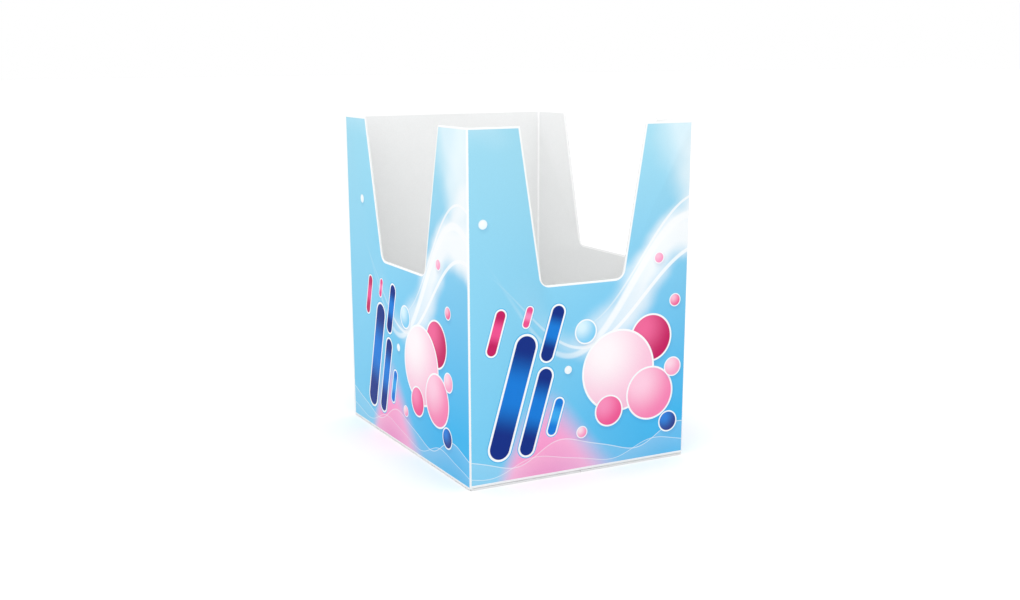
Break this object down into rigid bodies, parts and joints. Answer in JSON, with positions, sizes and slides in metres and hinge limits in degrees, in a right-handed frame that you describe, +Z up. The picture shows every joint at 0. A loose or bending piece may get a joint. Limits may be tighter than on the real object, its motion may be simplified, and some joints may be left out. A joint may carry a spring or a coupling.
{
  "type": "dump bin display",
  "caption": "Open-topped corrugated display bin folded from one printed sheet, with tapered access cut-outs in the front and side walls and a full-height back wall.",
  "frame": {"origin": "middle of the footprint, on the floor", "axes": "+Z up; -Y out of the front wall, the narrower wall with a cut-out; +Y out of the full-height back wall; +X to the right seen from the front"},
  "size_m": [0.6, 0.75, 0.835],
  "materials": {
    "printed_board": "satin offset print outside, plain white liner inside, white cut edges"
  },
  "bodies": {
    "root": {"bin_body": "printed_board"}
  },
  "joints": []
}
